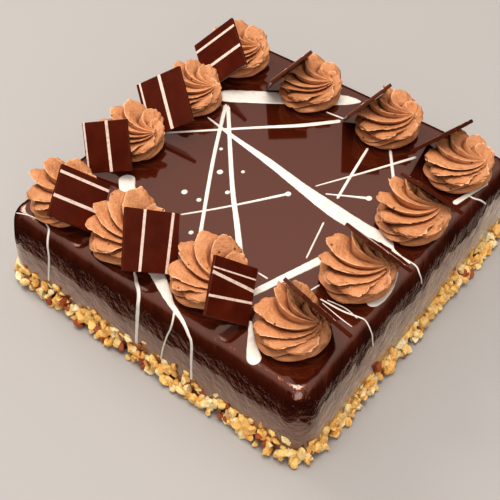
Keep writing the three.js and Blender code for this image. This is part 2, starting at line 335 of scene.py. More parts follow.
def moveGlaze(point, flat):
    # how far the poured skin lies off the plain block, flat being the level part of its normal
    x, y, z = point
    level, upright = glaze["waves"]
    wander = noise.noise(Vector((x * level, y * level, z * upright)))
    # the side walls ran more than the front and back ones
    runny = glaze["runsInFront"] + (1 - glaze["runsInFront"]) * abs(flat.x)
    for size, count, lean, rising, start in glaze["runs"]:
        spot = Vector(((x + y) * count + z * lean, (x - y) * count, z * rising + start))
        wander += size * runny * noise.noise(spot)
    return flat * (wander * glaze["wallWave"] + flareAt(z))


def makeGlazedCake():
    bm = bmesh.new()
    bmesh.ops.create_cube(bm, size=1)
    bmesh.ops.scale(bm, vec=(cake["lengthX"], cake["lengthY"], cake["height"]), verts=bm.verts)
    bmesh.ops.translate(bm, vec=(0, 0, cake["height"] / 2), verts=bm.verts)
    upright = [e for e in bm.edges if abs(e.verts[0].co.z - e.verts[1].co.z) > 1]
    bmesh.ops.bevel(bm, geom=upright, offset=cake["cornerRadius"], affect="EDGES",
                    segments=glaze["roundSteps"], profile=0.5, material=-1)
    rim = [e for e in bm.edges if min(v.co.z for v in e.verts) > cake["height"] - 0.01]
    bmesh.ops.bevel(bm, geom=rim, offset=cake["edgeRadius"], affect="EDGES",
                    segments=glaze["roundSteps"], profile=0.5, material=-1)
    # cut into a fine grid, so that the walls can wander and catch the light unevenly
    step = glaze["gridStep"]
    spans = [(-halfX, halfX), (-halfY, halfY), (0, cake["height"] - cake["edgeRadius"])]
    for axis, (low, high) in enumerate(spans):
        normal = [0, 0, 0]
        normal[axis] = 1
        cut = low + step
        while cut < high - step / 2:
            place = [0, 0, 0]
            place[axis] = cut
            sliceMesh(bm, place, normal)
            cut += step
    bm.normal_update()
    wall = bm.verts.layers.float.new("wall")
    for vert, normal in [(v, v.normal.copy()) for v in bm.verts]:
        flat = Vector((normal.x, normal.y, 0))
        shown = glaze["toneInFront"] + (1 - glaze["toneInFront"]) * abs(normal.x)
        vert[wall] = min(1, flat.length) * shown
        vert.co += moveGlaze(vert.co, flat)
    finishPiece(bm, "glazedCake", [makeGlazeMaterial()], "gateau")


makeGlazedCake()
print("the cake is glazed")


drizzle = {
    "colour": "#e9e2d8",
    "shade": "#dacfc2",
    "roughness": 0.32,
    "relief": 0.5,       # mm, how far the strokes stand out of the glaze
    "thinRelief": 0.25,  # and the thinnest line
    "tip": 0.0025,       # square of the part of a stroke's width that is left at its very ends
    "shortTip": 0.3,     # mm, the least length of a rounded end
    "waver": 0.09,       # part of a stroke's width that its edge wanders
    "waverStep": 0.25,   # how often, to the mm
    "steps": 14,         # between neighbouring points of a stroke
    "sides": 14,
    "dropHeight": 0.6,   # mm, the most that a drop stands up
    "dropFlat": 0.6,     # its height against half its width, where that is less
    "dropStretch": 1.08,
    "dropRings": 8,
}

# strokes on the top, as x, y and width in mm along each
topStrokes = [
    [(-77.2, 47.3, 12.9), (-43.1, 70.8, 12.8), (-10.5, 93.8, 10.8), (1.6, 100.7, 2)],
    [(-68.9, 25.8, 1), (-41.8, 20.9, 3.2), (-10.2, 16.1, 5.6), (20.8, 10.1, 7.9), (49.3, 5.8, 10.7),
     (68, 5.1, 9.2), (79.2, 5.8, 8.4), (84.5, 4, 5.6), (89.1, 1.8, 1.5), (97.2, -0.5, 1), (102, -1.6, 0.9)],
    [(-67.5, 43.7, 2.7), (-39.7, -3.6, 2.5), (-4.8, -58.1, 2.3)],
    [(-65.8, 43.7, 2.7), (-17.6, -12.4, 3), (6.6, -38.1, 3.5), (26.1, -59.2, 3.9)],
    [(-80.5, -3.4, 1.6), (-40.2, 34.5, 2.3), (-16.3, 56.4, 3.3), (2, 76.5, 3.3)],
    [(-24.9, -52.4, 1.2), (-7.7, -30.6, 1.5), (14.8, 1, 2.1)],
    [(58.8, 77.3, 2.2), (41.2, 46.1, 1.6), (23.8, 16.3, 0.9)],
    [(41.5, 73.2, 1.9), (59.9, 48.5, 2.2)],
    [(30.1, 65.4, 1.9), (35.4, 39.3, 1.9), (40.4, 15.7, 1.8)],
    [(32.3, 14.7, 0.9), (45.3, 22.3, 1.5), (55.2, 27.9, 2.4)],
    [(45.1, -4.7, 1.2), (53.6, -34.7, 1.1)],
    [(44, -76, 4.2), (45.7, -71.6, 4.4), (53.5, -49.9, 5), (60.7, -30.1, 5.7), (62, -26, 5.7)],
    [(38.6, -59.7, 1.1), (45.6, -59.8, 1.1)],
    [(-72.6, -46.6, 11.2), (-61.4, -57.8, 9.7), (-35.7, -76.3, 8.8), (-13.2, -91.9, 8.5)],
    [(68.5, -53.7, 1.1), (70.8, -45.5, 1.1)],
    [(97.4, 55.1, 3.7), (102, 73.9, 3.1), (104.5, 84, 3)],
    [(-10.8, 77.9, 1.3), (2.4, 79.3, 1.3)],
    [(80, -52, 0.5), (91, -50.6, 0.8), (100, -52.4, 0.6)],
    [(79, -55.3, 0.4), (92.4, -57.8, 0.7), (101, -58.8, 0.5)],
]

# strokes that run over the edge: side, then along, down over the glaze from where the edge
# starts to round, and width
drips = [
    ("front", [(-13.2, -15, 8.5), (-3.8, -10.8, 7.8), (6.4, -5.1, 6.2), (14.5, -0.5, 3.8),
               (21.5, 2.8, 2.7), (27.5, 5.5, 2.2), (33.2, 9.4, 2), (36.3, 13.8, 1.9),
               (36.9, 30.4, 1.6), (36.7, 44, 1.7)]),
    ("front", [(18.5, 0, 1.7), (21.4, 10, 1.2), (18.9, 20.6, 1), (16.4, 32, 1), (14.3, 44, 1)]),
    ("front", [(-16.2, -4.7, 1.4), (-11.4, -1.1, 2), (-3.5, 8.2, 2.5), (-3.1, 24.8, 2.4), (-4.5, 45, 2)]),
    ("front", [(-83.2, -1.1, 0.9), (-76.5, 3.2, 1.4), (-72.6, 18.2, 1.5), (-75.4, 41, 1.2)]),
    ("front", [(55.8, -17.4, 2.2), (61, -11.5, 3.3), (66.3, -5.6, 5.6), (72.9, 1.2, 8.4), (75.2, 3.4, 8.2)]),
    ("front", [(-103, 4.8, 0.6), (-95, 1.5, 0.8), (-88.1, -0.3, 0.8), (-83, -4, 0.7)]),
    ("right", [(1, -14, 1), (0.2, -9.9, 1), (-0.4, -0.9, 1), (-0.3, 4.8, 1.1), (-1.3, 9, 1),
               (-0.7, 16.2, 0.8)]),
    ("right", [(-53.7, -25.5, 1), (-53.1, -11.4, 1.1), (-51.2, -2.3, 1), (-50.6, 2.4, 0.9),
               (-51.6, 9.5, 0.8), (-51.4, 21, 0.8)]),
    ("right", [(84, -17.5, 3), (94.8, -10.6, 3.2), (100, -7, 2.4)]),
    ("right", [(67, -3.1, 1.2), (67.2, 2.7, 1.3), (71, 7.5, 1.2), (74.7, 12.3, 1)]),
    ("right", [(-4, -8, 3), (-14, -3, 4.4), (-26, -0.5, 6.4), (-36, -1, 7), (-41, -3.5, 5)]),
]

# single drops: x, y and width
drops = [
    (-55.5, -50.9, 2.4), (-42.2, 7.3, 2.5), (-29.5, -9.4, 4), (-18.4, -0.6, 2.5), (-35.3, -36.2, 3.9),
    (-24.1, -36, 3.1), (-14.7, -20.5, 3.1), (-10.6, -59.3, 3), (14.8, 1, 3.9), (55.2, 27.9, 4),
]


def makeWhiteChocolate():
    # tempered white chocolate: milk solids and cocoa butter, opaque and waxy
    material, tree, shader = newMaterial("whiteChocolate")
    place = addNode(tree, "ShaderNodeTexCoord").outputs["Object"]
    # thin and thick places about 5 mm apart, so 200 to the metre
    cloud = addNode(tree, "ShaderNodeTexNoise", {"Scale": 200.0, "Detail": 3.0}, {"Vector": place})
    tone = addNode(tree, "ShaderNodeValToRGB", {
        "stops": [(0.28, drizzle["shade"]), (0.45, drizzle["colour"])],
    }, {"Fac": cloud.outputs["Fac"]})
    tree.links.new(tone.outputs["Color"], shader.inputs["Base Color"])
    setShader(shader, {"Roughness": drizzle["roughness"], "IOR": 1.46})
    return material


def placeOnGlaze(side, along, down):
    # a point of the poured skin and its normal: how far along a side it lies, and how far down over
    # it, or its x and y on the top
    if side == "top":
        return Vector((along, down, cake["height"])), Vector((0, 0, 1))
    radius = cake["edgeRadius"]
    turn = min(max(down / radius, 0), math.pi / 2)
    out = radius * math.sin(turn) - radius + min(down, 0)
    height = cake["height"] - radius + radius * math.cos(turn) - max(down - edgeArc, 0)
    if side == "front":
        point, flat = Vector((along, -halfY - out, height)), Vector((0, -math.sin(turn), 0))
    else:
        point, flat = Vector((halfX + out, along, height)), Vector((math.sin(turn), 0, 0))
    return point + moveGlaze(point, flat), flat + Vector((0, 0, math.cos(turn)))


def pourStroke(bm, side, path, seed):
    rows = smoothPath(path, drizzle["steps"])
    spots = [placeOnGlaze(side, row[0], row[1]) for row in rows]
    lengths = [0.0]
    for (before, _), (after, _) in zip(spots, spots[1:]):
        lengths.append(lengths[-1] + (after - before).length)
    frames = []
    for i, ((place, normal), row) in enumerate(zip(spots, rows)):
        along = (spots[min(i + 1, len(spots) - 1)][0] - spots[max(i - 1, 0)][0]).normalized()
        across = along.cross(normal).normalized()
        half = row[2] / 2
        # the ends are round, and the edges wander a little
        fromEnd = min(lengths[i], lengths[-1] - lengths[i])
        fromTip = 1 - min(fromEnd / max(half, drizzle["shortTip"]), 1)
        half *= math.sqrt(max(drizzle["tip"], 1 - fromTip ** 2))
        wave = noise.noise(Vector((lengths[i] * drizzle["waverStep"], seed * 3.7, 0)))
        half *= 1 + drizzle["waver"] * wave
        relief = min(drizzle["relief"], drizzle["thinRelief"] + half / 2)
        frames.append(frameOf(across * half, normal * relief, along, place))
    ring = bmesh.ops.create_circle(bm, segments=drizzle["sides"], radius=1)["verts"]
    sweepRing(bm, ring, frames)


def makeDrizzle():
    bm = bmesh.new()
    strokes = [("top", path) for path in topStrokes] + drips
    for i, (side, path) in enumerate(strokes):
        # each stroke is drawn in a mesh of its own, which is quicker, and then joined to the rest
        stroke = bmesh.new()
        pourStroke(stroke, side, path, i)
        mesh = bpy.data.meshes.new("stroke")
        stroke.to_mesh(mesh)
        stroke.free()
        bm.from_mesh(mesh)
        bpy.data.meshes.remove(mesh)
    for x, y, width in drops:
        drop = bmesh.ops.create_uvsphere(bm, u_segments=drizzle["sides"],
                                         v_segments=drizzle["dropRings"], radius=width / 2)["verts"]
        tall = min(drizzle["dropFlat"], drizzle["dropHeight"] / (width / 2))
        bmesh.ops.scale(bm, vec=(1, drizzle["dropStretch"], tall), verts=drop)
        bmesh.ops.translate(bm, vec=(x, y, cake["height"]), verts=drop)
    bmesh.ops.recalc_face_normals(bm, faces=bm.faces)
    finishPiece(bm, "whiteDrizzle", [makeWhiteChocolate()], "gateau")


makeDrizzle()
print("the white chocolate is drizzled")


plaque = {
    "colour": "#4c1a0e",
    # painted sheen in patches on the faces
    "sheen": "#5a2214",
    "edge": "#552718",
    "edgeWidth": 0.1,    # mm
    "mirror": "#ffc8ae",     # tint of what the cocoa butter mirrors
    "roughness": 0.2,
    "stripe": "#eed7c9",
    "worn": "#d9b5a0",
    "stripeRoughness": 0.4,
    "thickness": 2.2,
    "bevel": 0.35,
    "bevelSteps": 3,
    "clearance": 0.3,    # mm between it and the cream or the glaze
    "margin": 0.6,       # mm round it where the cream is pressed back too
}

# middle, azimuth and elevation of the face, roll, width and height, how high it is lifted, and its
# stripes as (0 across or 1 up, place at one end and at the other in parts of its side, width in mm)
plaquePlaces = [
    ((-88.5, 63), -108, 41, 63.5, 35, 36.3, 0, [(0, 0.33, 0.33, 1.9), (0, -0.1, -0.1, 2.2)]),
    ((-84, 2.5), -90, 43, 44.5, 33, 36.5, 0, [(1, -0.42, -0.42, 1.4), (1, 0.03, 0.03, 2.3)]),
    ((-85.5, -48.5), -76, 35.5, 20, 30, 31, 0, [(1, -0.46, -0.46, 1.3), (1, 0.05, 0.05, 2)]),
    ((-65.5, -91), 1, 41.5, -56, 32.3, 31.6, 0, [(0, 0.36, 0.36, 1.8), (0, -0.1, -0.1, 2)]),
    ((-11.3, -90.5), -4.5, 43.5, -38.7, 33.5, 34.6, 0, [(1, -0.195, -0.14, 1.75), (1, 0.29, 0.38, 1.8)]),
    ((45.5, -91), 3, 35, -52, 30.5, 31.7, 0,
     [(0, 0.3, 0.3, 0.9), (0, 0.22, 0.1, 1.8), (0, -0.17, -0.1, 1.4)]),
    ((88.6, -74.9), 78.6, 31.4, -42.6, 34.8, 34.8, 2.5, [(0, 0.3, 0.26, 1.8), (0, -0.12, -0.12, 2)]),
    ((88.7, -16.8), 80.5, 38.3, 52.1, 32.8, 32.8, 0, [(1, -0.3, -0.3, 1.8), (1, 0.12, 0.08, 2)]),
    ((89.7, 38.2), 82, 39.6, 48.1, 31.6, 31.6, 0, [(0, 0.28, 0.28, 1.9), (0, -0.14, -0.1, 1.8)]),
    ((68.5, 84.5), 163, 38, 32, 32, 32, 0, [(1, -0.28, -0.24, 1.9), (1, 0.15, 0.15, 2)]),
    ((15.7, 81.1), 174.3, 34.4, 58, 32.9, 32.9, 0, [(0, 0.32, 0.32, 1.8), (0, -0.1, -0.14, 2.1)]),
    ((-43.2, 78), 176, 36, 62, 33, 33, 0, [(0, 0.3, 0.3, 1.9), (0, -0.12, -0.12, 1.9)]),
]


def makePlaqueChocolate():
    # tempered dark chocolate set on a smooth sheet: dense, with a waxy shine
    material, tree, shader = newMaterial("temperedChocolate")
    place = addNode(tree, "ShaderNodeTexCoord").outputs["Object"]
    # the cut edges are scraped and paler
    edge = addNode(tree, "ShaderNodeAttribute", {"attribute_name": "edge"}).outputs["Fac"]
    # painted sheen: paler patches about 11 mm across, so 90 to the metre, that stand in for the shine on the
    # face
    sheenPatch = addNode(tree, "ShaderNodeTexNoise", {"Scale": 90.0, "Detail": 3.0}, {"Vector": place})
    face = addNode(tree, "ShaderNodeValToRGB", {
        "stops": [(0.35, plaque["colour"]), (0.7, plaque["sheen"])],
    }, {"Fac": sheenPatch.outputs["Fac"]})
    mixed = addNode(tree, "ShaderNodeMix", {"data_type": "RGBA", 7: linear(plaque["edge"])},
                    {0: edge, 6: face.outputs["Color"]})
    tree.links.new(mixed.outputs[2], shader.inputs["Base Color"])
    setShader(shader, {"Roughness": plaque["roughness"], "IOR": 1.45,
                       "Specular Tint": linear(plaque["mirror"])})
    return material


def makeStripeChocolate():
    # coloured cocoa butter brushed on in lines: thin and matt
    material, tree, shader = newMaterial("cocoaButterStripe")
    place = addNode(tree, "ShaderNodeTexCoord").outputs["Object"]
    # worn spots about 2 mm apart, so 500 to the metre
    worn = addNode(tree, "ShaderNodeTexNoise", {"Scale": 500.0, "Detail": 3.0}, {"Vector": place})
    tone = addNode(tree, "ShaderNodeValToRGB", {
        "stops": [(0.3, plaque["worn"]), (0.5, plaque["stripe"])],
    }, {"Fac": worn.outputs["Fac"]})
    tree.links.new(tone.outputs["Color"], shader.inputs["Base Color"])
    setShader(shader, {"Roughness": plaque["stripeRoughness"]})
    return material


def leanMatrix(azimuth, elevation, roll):
    # turns a flat plaque so that its face looks that way
    turn, rise, spin = math.radians(azimuth), math.radians(elevation), math.radians(roll)
    level = Vector((-math.sin(turn), math.cos(turn), 0))
    face = Vector((math.cos(turn) * math.cos(rise), math.sin(turn) * math.cos(rise), math.sin(rise)))
    return frameOf(level, face.cross(level), face, Vector()) @ Matrix.Rotation(spin, 4, "Z")


def makePlaque(number, place, azimuth, elevation, roll, width, height, lift, stripes, materials):
    bm = bmesh.new()
    edge = bm.verts.layers.float.new("edge")
    bmesh.ops.create_cube(bm, size=1)
    bmesh.ops.scale(bm, vec=(width, height, plaque["thickness"]), verts=bm.verts)
    bmesh.ops.translate(bm, vec=(0, 0, -plaque["thickness"] / 2), verts=bm.verts)
    bmesh.ops.bevel(bm, geom=bm.edges[:], offset=plaque["bevel"], affect="EDGES",
                    segments=plaque["bevelSteps"], profile=0.5, material=-1)
    bands = []
    for upright, low, high, broad in stripes:
        if upright:
            start = Vector((low * width, -height / 2, 0))
            run = Vector((high * width - low * width, height, 0))
        else:
            start = Vector((-width / 2, low * height, 0))
            run = Vector((width, high * height - low * height, 0))
        side = Vector((-run.y, run.x, 0)).normalized()
        bands.append((start, side, broad / 2))
        for way in (-1, 1):
            sliceMesh(bm, start + side * way * broad / 2, side)
    for face in bm.faces:
        middle = face.calc_center_median()
        # the face and the upper part of its rounded edge
        onFront = middle.z > -plaque["bevel"] * 0.6
        if onFront and any(abs((middle - start).dot(side)) < half for start, side, half in bands):
            face.material_index = 1
    for vert in bm.verts:
        inside = min(width / 2 - abs(vert.co.x), height / 2 - abs(vert.co.y))
        vert[edge] = 1.0 if inside < plaque["edgeWidth"] else 0.0
    lean = leanMatrix(azimuth, elevation, roll)
    bmesh.ops.transform(bm, matrix=lean, verts=bm.verts)
    rise = cake["height"] + plaque["clearance"] + lift - min(v.co.z for v in bm.verts)
    bmesh.ops.translate(bm, vec=(place[0], place[1], rise), verts=bm.verts)
    plaqueSeats.append((Matrix.Translation((place[0], place[1], rise)) @ lean, width, height))
    name = "chocolateSquare_%02d" % number
    finishPiece(bm, name, materials, "plaque_%02d" % number, smooth=False)


plaqueMaterials = [makePlaqueChocolate(), makeStripeChocolate()]
plaqueSeats = []  # for each, the matrix of where it leans, its width and its height
for number, values in enumerate(plaquePlaces, 1):
    makePlaque(number, *values, plaqueMaterials)
print("the plaques are set")


# lengths in mm and angles in degrees
rosette = {
    "body": "#d09163",
    # painted highlight along the lips and the torn tail
    "crest": "#f0c198",
    # painted shade down in the grooves between the lips
    "paintedGrooveShade": "#622a10",
    "airy": "#d8c0ac",   # shade of the clouds with less air
    # painted shade in the burst bubbles
    "pitShade": "#5e2c12",    # burst bubbles
    "roughness": 0.55,
    "grainDepth": 0.9,   # how deep the bubbles are, and the grain is a third of it
    "facing": 37.5,      # every rosette was pulled off towards this side
    "facingSpread": 5.0,
    # the nozzle's star
    "perFlute": 12,      # points of each tooth
    "unevenTeeth": 0.24,         # part of a tooth either way
    "unevenDepth": (0.65, 1.3),
    "steep": 0.25,       # part of a tooth that falls steeply under its lip
    # the lap on the glaze
    "lapFlutes": 7,
    "lapDepth": 0.3,     # how deep the nozzle's flutes are, as a part of the rope's radius
    "lapSteps": 12,
    "lapTear": 0.05,     # how far its lips are torn, the same
    "unevenWidth": (0.96, 1.04),
    "unevenThick": (0.93, 1.07),
    # the swirl on top of it, which ends in the tail
    "flutes": 8,
    "depth": 0.4,        # as a part of the way down to the core
    "rings": 120,
    "rimPart": 0.42,     # part of the rings that lie below the rim
    "tail": (14.5, -4.0, 18.0),  # right, away and up, where the nozzle was pulled off
    "turnBelow": 50.0,   # how far the flutes turn up to the rim, and on to the tail
    "turnAbove": 80.0,
    "narrowing": 0.8,    # bends the way in from the rim, 1 being straight
    "sliding": 1.2,      # and the way over to the tail
    "sag": 1.5,          # how far the swirl hangs between the rim and the tail
    "core": 6.0,         # above the glaze, the height that the flutes cut down towards
    "coreSlide": 0.7,    # how far that place goes along towards the tail
    "footDepth": 0.35,   # part of their depth that the flutes have at the foot
    # how far the cream stands in or out, as parts of its way from the core
    "tear": 0.06,        # along the torn lips
    "petal": 0.045,      # from one flute to the next
    "lump": 0.03,        # 3 mm apart
    "fineLump": 0.014,   # 1 mm apart
    # radius from the foot to the rim
    "flank": [(16.0,), (19.6,), (20.8,), (19.8,), (16.6,)],
    "flankSteps": 30,
    "unevenHeight": (0.96, 1.04),
    # height of the foot and of the rim by the angle round the rosette
    "foot": [(0, 4.5), (180, 4.5), (230, 6.5), (290, 7.5), (330, 6.0)],
    "rim": [(0, 18.0), (45, 20.5), (107, 23.0), (180, 19.0), (225, 15.5), (270, 13.5), (315, 14.5)],
}

# where each stands, its size and how much further it was turned
rosettePlaces = [
    (-88, 83, 1.03, 0), (-86, 31, 0.97, 0), (-87.5, -24, 0.98, -8), (-83, -88, 1.02, 25),
    (-33.5, -88, 1.08, -30), (23, -84, 1.04, -30), (79, -83, 1.0, -5), (84.5, -30, 1.04, 0),
    (86, 25, 1.03, 0), (86, 78, 1.0, 0), (31, 85.5, 1.02, 0), (-28, 83.5, 0.98, 0),
]

# the lap on the glaze, clockwise: angle, radius, height, half width and half thickness of the rope
lap = [
    (330, 9, 3, 3, 3), (310, 10, 4, 9, 4.5), (240, 10.5, 3.8, 10, 4.5), (180, 10.5, 4.5, 10, 5),
    (120, 10.5, 4.5, 10, 5), (60, 10.5, 4.5, 10, 5), (0, 10.5, 4.5, 10, 5), (-50, 10, 4.3, 9.5, 5),
    (-80, 8, 5, 7, 5), (-100, 5, 7, 3, 3),
]


def makeButtercream():
    # whipped chocolate buttercream: satin fat with fine air, with a painted highlight along the thin torn
    # lips and painted shade down in the flutes
    material, tree, shader = newMaterial("whippedButtercream")
    place = addNode(tree, "ShaderNodeTexCoord").outputs["Object"]
    crest = addNode(tree, "ShaderNodeAttribute", {"attribute_name": "crest"}).outputs["Fac"]
    # painted light and shade by where a point lies in its flute: painted shade in the grooves, painted
    # highlight on the lips
    tone = addNode(tree, "ShaderNodeValToRGB", {
        "stops": [(0.0, rosette["paintedGrooveShade"]), (0.4, rosette["body"]), (0.85, rosette["body"]),
                  (1.0, rosette["crest"])],
    }, {"Fac": crest})
    # clouds of more and less air, about 8 mm across, so 125 to the metre
    cloud = addNode(tree, "ShaderNodeTexNoise", {"Scale": 125.0, "Detail": 4.0}, {"Vector": place})
    shade = addNode(tree, "ShaderNodeValToRGB", {"stops": [(0.3, rosette["airy"]), (0.6, "#ffffff")]},
                    {"Fac": cloud.outputs["Fac"]})
    mixed = addNode(tree, "ShaderNodeMix", {"data_type": "RGBA", "blend_type": "MULTIPLY", 0: 0.5},
                    {6: tone.outputs["Color"], 7: shade.outputs["Color"]})
    # burst air bubbles 1.3 mm across, dented and darkened with painted shade, in one of about ten cells of
    # 3.3 mm, so 300 to the metre
    cells = addNode(tree, "ShaderNodeTexVoronoi", {"Scale": 300.0}, {"Vector": place})
    few = addNode(tree, "ShaderNodeMath", {"operation": "GREATER_THAN", 1: 0.8},
                  {0: cells.outputs["Color"]})
    near = addNode(tree, "ShaderNodeMath", {"operation": "LESS_THAN", 1: 0.2},
                   {0: cells.outputs["Distance"]})
    holes = addNode(tree, "ShaderNodeMath", {"operation": "MULTIPLY"},
                    {0: few.outputs["Value"], 1: near.outputs["Value"]}).outputs["Value"]
    pitShaded = addNode(tree, "ShaderNodeMix", {"data_type": "RGBA", 7: linear(rosette["pitShade"])},
                     {0: holes, 6: mixed.outputs[2]})
    tree.links.new(pitShaded.outputs[2], shader.inputs["Base Color"])
    # the grain of the whipped fat is finer than shows, so it is drawn 1.3 mm coarse, 750 to the metre
    grain = addNode(tree, "ShaderNodeTexNoise", {"Scale": 750.0, "Detail": 4.0}, {"Vector": place})
    relief = addNode(tree, "ShaderNodeMath", {"operation": "SUBTRACT"},
                     {0: grain.outputs["Fac"], 1: holes})
    bump = addNode(tree, "ShaderNodeBump", {"Strength": 1.0, "Distance": rosette["grainDepth"] * mm},
                   {"Height": relief.outputs["Value"]})
    tree.links.new(bump.outputs["Normal"], shader.inputs["Normal"])
    setShader(shader, {"Roughness": rosette["roughness"], "IOR": 1.45, "Subsurface Weight": 0.05,
                       "Subsurface Radius": (1.0, 0.45, 0.25), "Subsurface Scale": mm})
    return material


def smoothTable(rows, angle):
    # a value by the angle, which goes smoothly from row to row and closes round the circle
    angle %= 360
    for (low, first), (high, second) in zip(rows, rows[1:] + [(rows[0][0] + 360, rows[0][1])]):
        if low <= angle <= high:
            part = (angle - low) / (high - low)
            part *= part * (3 - 2 * part)
            return first + (second - first) * part


def starPoints(rng, flutes, depth):
    # the nozzle's star: an angle, a lip height, a depth and a painted light value for each point, full on
    # the lip and falling to painted shade down the groove, with uneven teeth
    uneven = rosette["unevenTeeth"]
    teeth = [tooth + rng.uniform(-uneven, uneven) for tooth in range(flutes)]
    teeth.append(teeth[0] + flutes)
    points = []
    steep = rosette["steep"]
    for tooth in range(flutes):
        deep = depth * rng.uniform(*rosette["unevenDepth"])
        for step in range(rosette["perFlute"]):
            part = step / rosette["perFlute"]
            # steep under each lip and then a round rise to the next
            if part < steep:
                lip = (1 - part / steep) ** 1.4
            else:
                lip = math.sin((part - steep) / (1 - steep) * math.pi * 0.52) ** 0.85
            turn = (teeth[tooth] + (teeth[tooth + 1] - teeth[tooth]) * part) * 2 * math.pi / flutes
            # the last value is the painted light: full on the lip, and less down the groove
            points.append((turn, lip, deep, 1.0 if step == 0 else lip * 0.85))
    return points


def pipeRings(bm, points, places):
    # extrudes a star through rows of places, one place for each of its points, and closes the ends
    layer = bm.verts.layers.int["point"]
    crest = bm.verts.layers.float["crest"]
    verts = bmesh.ops.create_circle(bm, segments=len(points), radius=1)["verts"]
    for i, vert in enumerate(verts):
        # every extrusion passes the point's number on
        vert[layer] = i
    first = edges = list({e for v in verts for e in v.link_edges})
    for i, row in enumerate(places):
        if i:
            verts, edges = extrudeRing(bm, edges)
        for vert in verts:
            vert.co = row[vert[layer]]
            # painted highlight on the torn end where the nozzle left
            vert[crest] = max(points[vert[layer]][3], (i / len(places)) ** 9)
    bmesh.ops.contextual_create(bm, geom=first)
    bmesh.ops.contextual_create(bm, geom=edges)


def lapPlaces(points, rng, phase):
    # the star doesn't turn with the hand, so each of its points keeps its side of the world
    rows = []
    for angle, radius, height, width, thick in lap:
        turn = math.radians(angle)
        width *= rng.uniform(*rosette["unevenWidth"])
        thick *= rng.uniform(*rosette["unevenThick"])
        rows.append((radius * math.cos(turn), radius * math.sin(turn), height, width, thick))
    rows = smoothPath(rows, rosette["lapSteps"])
    seed = rng.uniform(0, 50)
    places = []
    for i, (x, y, z, width, thick) in enumerate(rows):
        before, after = rows[max(i - 1, 0)], rows[min(i + 1, len(rows) - 1)]
        heading = math.atan2(after[1] - before[1], after[0] - before[0])
        sine = math.sin(heading)
        cosine = math.cos(heading)
        ring = []
        for k, (turn, lip, deep, _) in enumerate(points):
            tear = noise.noise(Vector((i * 0.11, k * 0.44, seed)))
            reach = 1 - deep * (1 - lip) + rosette["lapTear"] * lip * tear
            side = math.sin(turn + phase - heading) * width * reach
            up = math.cos(turn + phase - heading) * thick * reach
            ring.append(Vector((x - sine * side, y + cosine * side, max(z + up, 0))))
        places.append(ring)
    return places


def swirlPlaces(points, rng, phase):
    # rings from the foot up over the flank to the rim, and from there in and over to the tail
    tail = Vector(rosette["tail"]) + Vector([rng.uniform(-1, 1) for axis in range(3)])
    seed = rng.uniform(0, 50)
    tall = rng.uniform(*rosette["unevenHeight"])
    flank = smoothPath(rosette["flank"], rosette["flankSteps"])
    rimPart = rosette["rimPart"]
    footDepth = rosette["footDepth"]
    coreSlide = rosette["coreSlide"]
    places = []
    for i in range(rosette["rings"]):
        below = min(i / rosette["rings"] / rimPart, 1)
        above = max(i / rosette["rings"] - rimPart, 0) / (1 - rimPart)
        radius = flank[int(below * (len(flank) - 1))][0] * (1 - above) ** rosette["narrowing"]
        slide = above ** rosette["sliding"]
        sag = rosette["sag"] * math.sin(math.pi * above) * (1 - above / 2)
        middle = Vector((tail.x, tail.y, 0)) * slide
        core = Vector((middle.x * coreSlide, middle.y * coreSlide, rosette["core"]))
        ring = []
        for k, (turn, lip, deep, _) in enumerate(points):
            start = math.degrees(turn + phase)
            angle = start + rosette["turnBelow"] * below + rosette["turnAbove"] * above
            if above > 0:
                height = smoothTable(rosette["rim"], start + rosette["turnBelow"]) * tall
                height += (tail.z - height) * slide - sag
                depth = deep * (1 - above ** 3)
            else:
                foot = smoothTable(rosette["foot"], angle)
                rise = smoothTable(rosette["rim"], angle) * tall - foot
                height = foot + rise * math.sin(below * math.pi / 2)
                depth = deep * (footDepth + (1 - footDepth) * min(1, below * 1.5))
            way = Vector((math.cos(math.radians(angle)), math.sin(math.radians(angle)), 0))
            place = middle + way * radius + Vector((0, 0, height))
            place += (core - place) * depth * (1 - lip)
            # the lips are torn, and the rest is lumpy with air
            wave = rosette["tear"] * lip * noise.noise(Vector((i * 0.18, k * 0.44, seed)))
            wave += rosette["lump"] * noise.noise(place * 0.3 + Vector((seed, 0, 0)))
            wave += rosette["petal"] * noise.noise(Vector((i * 0.05, k * 0.9, seed + 9)))
            wave += rosette["fineLump"] * noise.noise(place * 0.8 + Vector((0, seed, 0)))
            # less where the swirl narrows to the tail
            place += (place - core) * wave * min(1, radius / 12)
            ring.append(place)
        places.append(ring)
    return places


def pressBehind(bm, seat, width, height):
    # the cream gives way to the plaque that leans on it
    back = -plaque["thickness"] - plaque["clearance"]
    reachX = width / 2 + plaque["margin"]
    reachY = height / 2 + plaque["margin"]
    toPlaque = seat.inverted()
    for vert in bm.verts:
        spot = toPlaque @ vert.co
        if spot.z > back and abs(spot.x) < reachX and abs(spot.y) < reachY:
            spot.z = back
            vert.co = seat @ spot


